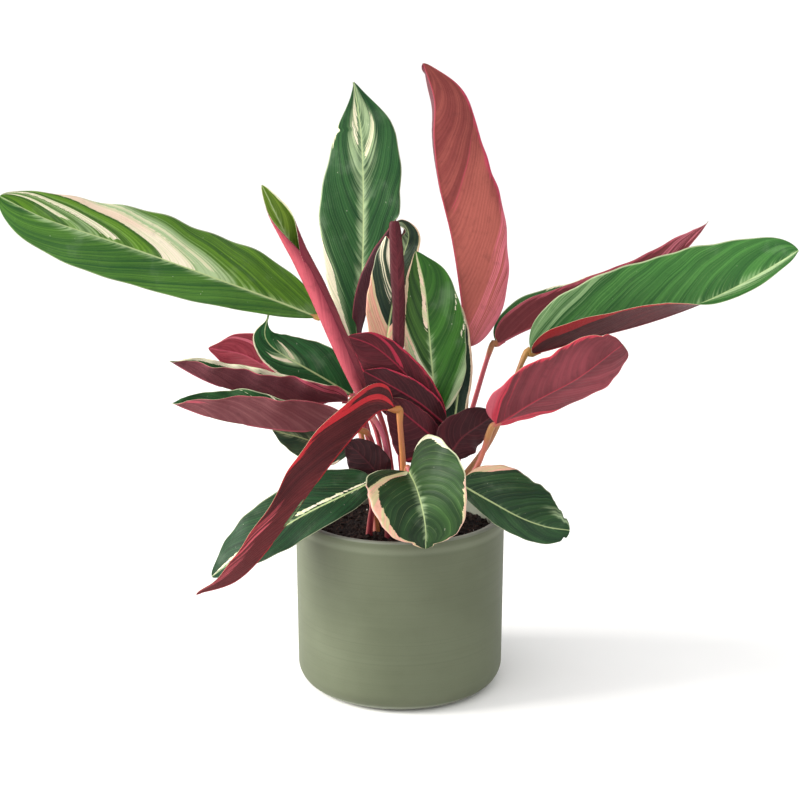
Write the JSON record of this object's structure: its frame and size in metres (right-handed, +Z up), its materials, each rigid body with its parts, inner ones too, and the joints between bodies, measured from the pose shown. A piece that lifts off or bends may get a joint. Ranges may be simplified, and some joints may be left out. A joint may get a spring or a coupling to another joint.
{
  "type": "potted stromanthe triostar plant",
  "caption": "Houseplant with long variegated leaves, green and cream above and maroon below, on slim stalks in a plain round sage-green pot.",
  "frame": {"origin": "centre of the pot's flat underside, on the surface that it stands on", "axes": "+Z up, -Y towards the viewer of the picture, +X to the viewer's right"},
  "size_m": [0.5343, 0.1773, 0.4415],
  "materials": {
    "sage_pot": "matt sage-green glaze on a turned ceramic pot",
    "potting_soil": "dark crumbly peat",
    "leaf_upper_side": "satin leaf, green with cream and pink sectors",
    "leaf_underside": "satin leaf underside, maroon with pink margins",
    "leaf_stalk": "smooth green stem, reddish"
  },
  "bodies": {
    "root": {"pot": "sage_pot", "soil": "potting_soil", "leaf_far_left": "leaf_upper_side", "leaf_rolled": "leaf_upper_side", "leaf_top_left": "leaf_upper_side", "leaf_inner_rolled": "leaf_upper_side", "leaf_behind": "leaf_upper_side", "leaf_center_right": "leaf_upper_side", "leaf_right_behind": "leaf_upper_side", "leaf_tall_red": "leaf_underside", "leaf_back_right": "leaf_underside", "leaf_right_long": "leaf_upper_side", "leaf_right_low": "leaf_underside", "leaf_dark_low": "leaf_underside", "leaf_front_right": "leaf_upper_side", "leaf_front": "leaf_upper_side", "leaf_folded_red": "leaf_underside", "leaf_left_low": "leaf_upper_side", "leaf_left_mid": "leaf_underside", "leaf_left_up": "leaf_underside", "leaf_left_pink": "leaf_underside", "leaf_left_dark": "leaf_upper_side", "leaf_maroon_top": "leaf_underside", "leaf_maroon_mid": "leaf_underside", "leaf_maroon_low": "leaf_underside", "leaf_left_behind": "leaf_upper_side", "leaf_inner_maroon": "leaf_underside", "stalk_far_left": "leaf_stalk", "stalk_rolled": "leaf_stalk", "stalk_top_left": "leaf_stalk", "stalk_inner_rolled": "leaf_stalk", "stalk_behind": "leaf_stalk", "stalk_center_right": "leaf_stalk", "stalk_right_behind": "leaf_stalk", "stalk_tall_red": "leaf_stalk", "stalk_back_right": "leaf_stalk", "stalk_right_long": "leaf_stalk", "stalk_right_low": "leaf_stalk", "stalk_dark_low": "leaf_stalk", "stalk_front_right": "leaf_stalk", "stalk_front": "leaf_stalk", "stalk_folded_red": "leaf_stalk", "stalk_left_low": "leaf_stalk", "stalk_left_mid": "leaf_stalk", "stalk_left_up": "leaf_stalk", "stalk_left_pink": "leaf_stalk", "stalk_left_dark": "leaf_stalk", "stalk_maroon_top": "leaf_stalk", "stalk_maroon_mid": "leaf_stalk", "stalk_maroon_low": "leaf_stalk", "stalk_left_behind": "leaf_stalk", "stalk_inner_maroon": "leaf_stalk"}
  },
  "joints": []
}
